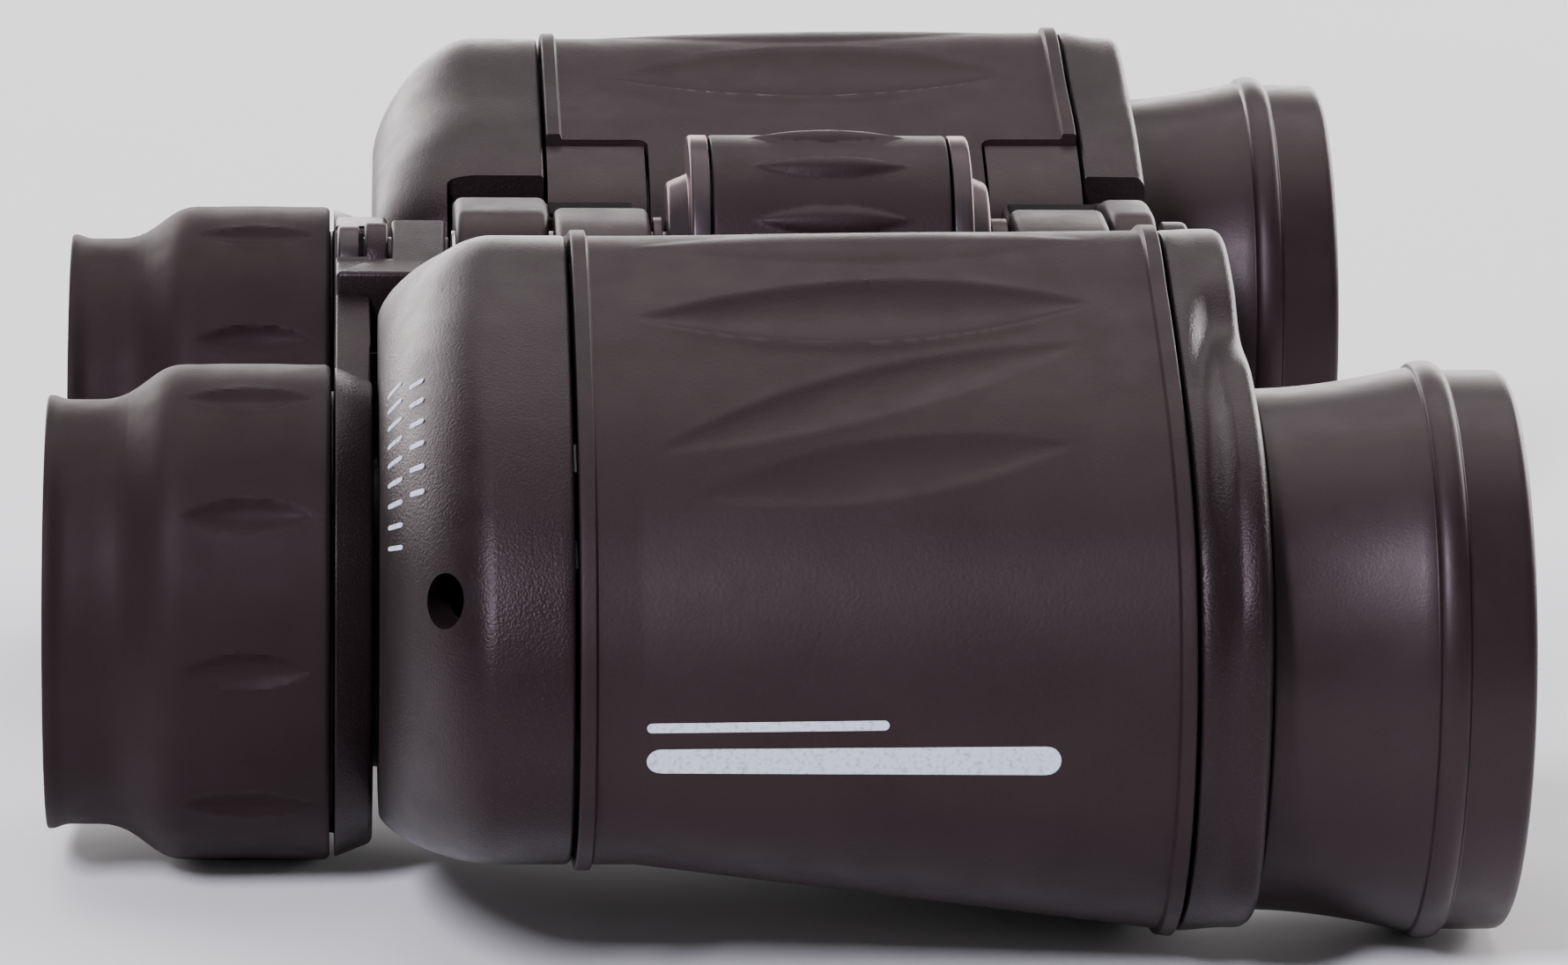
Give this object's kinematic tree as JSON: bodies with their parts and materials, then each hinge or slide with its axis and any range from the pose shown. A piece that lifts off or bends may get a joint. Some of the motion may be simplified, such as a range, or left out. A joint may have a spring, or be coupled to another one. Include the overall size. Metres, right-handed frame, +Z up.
{
  "type": "porro prism binoculars",
  "caption": "Hand-held Porro-prism binoculars with rubber armour, a centre focus wheel, a folding hinge and a dioptre ring on the right eyepiece.",
  "frame": {"origin": "centre of the bounding box's bottom face, on the surface that the eyecup collars rest on", "axes": "+Z up, +Y along the optical axes towards the objectives, +X to the user's right"},
  "size_m": [0.161, 0.1044, 0.0496],
  "materials": {
    "armour_rubber": "matte dark warm grey rubber, fine pebble",
    "eyecup_rubber": "soft matte rubber",
    "bell_rubber": "soft matte rubber with a slight sheen",
    "housing_shell": "matte moulded black",
    "satin_plastic": "satin black with a fine spark grain",
    "black_metal": "black anodised satin",
    "steel": "turned steel",
    "coated_glass": "polished, coated",
    "prism_glass": "polished"
  },
  "bodies": {
    "right_barrel": {"right_prism_housing": "housing_shell", "right_armour": "armour_rubber", "right_rear_cover": "satin_plastic", "right_front_plate": "satin_plastic", "right_objective_bell": "bell_rubber", "right_objective_tube": "housing_shell", "right_objective_crown": "coated_glass", "right_objective_flint": "coated_glass", "right_lens_ring": "black_metal", "right_prism_shelf": "black_metal", "right_rear_prism": "prism_glass", "right_front_prism": "prism_glass", "right_rear_prism_clip": "steel", "right_front_prism_clip": "steel", "rear_hinge_axle": "steel", "front_hinge_axle": "steel", "rear_thrust_washer": "black_metal", "front_thrust_washer": "black_metal", "tripod_socket_cap": "satin_plastic"},
    "left_barrel": {"left_prism_housing": "housing_shell", "left_armour": "armour_rubber", "left_rear_cover": "satin_plastic", "left_front_plate": "satin_plastic", "left_objective_bell": "bell_rubber", "left_objective_tube": "housing_shell", "left_objective_crown": "coated_glass", "left_objective_flint": "coated_glass", "left_lens_ring": "black_metal", "left_prism_shelf": "black_metal", "left_rear_prism": "prism_glass", "left_front_prism": "prism_glass", "left_rear_prism_clip": "steel", "left_front_prism_clip": "steel"},
    "focus_wheel": {"focus_wheel_core": "black_metal", "focus_wheel_grip": "armour_rubber"},
    "right_carriage": {"right_bridge_arm": "satin_plastic", "right_eyepiece_tube": "satin_plastic", "right_field_stop": "black_metal", "right_field_lens": "coated_glass", "focus_rod": "black_metal", "bridge_screw": "black_metal"},
    "left_carriage": {"left_bridge_arm": "satin_plastic", "left_eyepiece_tube": "satin_plastic", "left_field_stop": "black_metal", "left_field_lens": "coated_glass", "left_ocular_cell": "black_metal", "left_eye_lens": "coated_glass", "left_eyepiece_ring": "satin_plastic", "left_eyecup": "eyecup_rubber", "left_eyecup_retainer": "satin_plastic"},
    "right_ocular": {"right_ocular_cell": "black_metal", "right_eye_lens": "coated_glass"},
    "right_dioptre": {"right_dioptre_ring": "satin_plastic", "right_eyecup": "eyecup_rubber", "right_eyecup_retainer": "satin_plastic"}
  },
  "joints": [
    {"name": "barrel_hinge", "type": "hinge", "parent": "right_barrel", "child": "left_barrel", "pos_m": [0, 0.00219, 0.03764], "axis": [0, 1, 0], "range_deg": [-15, 45]},
    {"name": "focus_turn", "type": "hinge", "parent": "right_barrel", "child": "focus_wheel", "pos_m": [0, 0.00705, 0.03764], "axis": [0, 1, 0], "range_deg": [0, 324]},
    {"name": "right_focus_slide", "type": "slide", "parent": "right_barrel", "child": "right_carriage", "axis": [0, -1, 0], "range_m": [0, 0.0054]},
    {"name": "left_focus_slide", "type": "slide", "parent": "left_barrel", "child": "left_carriage", "axis": [0, -1, 0], "range_m": [0, 0.0054]},
    {"name": "dioptre_slide", "type": "slide", "parent": "right_carriage", "child": "right_ocular", "axis": [0, -1, 0], "range_m": [0, 0.002]},
    {"name": "dioptre_turn", "type": "hinge", "parent": "right_ocular", "child": "right_dioptre", "pos_m": [0.03093, -0.0373, 0.01837], "axis": [0, 1, 0], "range_deg": [0, 180]}
  ],
  "couplings": [
    {"joint": "focus_turn", "follows": "right_focus_slide", "rad_per_m": 1047.2},
    {"joint": "left_focus_slide", "follows": "right_focus_slide", "ratio": 1},
    {"joint": "dioptre_slide", "follows": "dioptre_turn", "m_per_rad": 0.00063662}
  ]
}
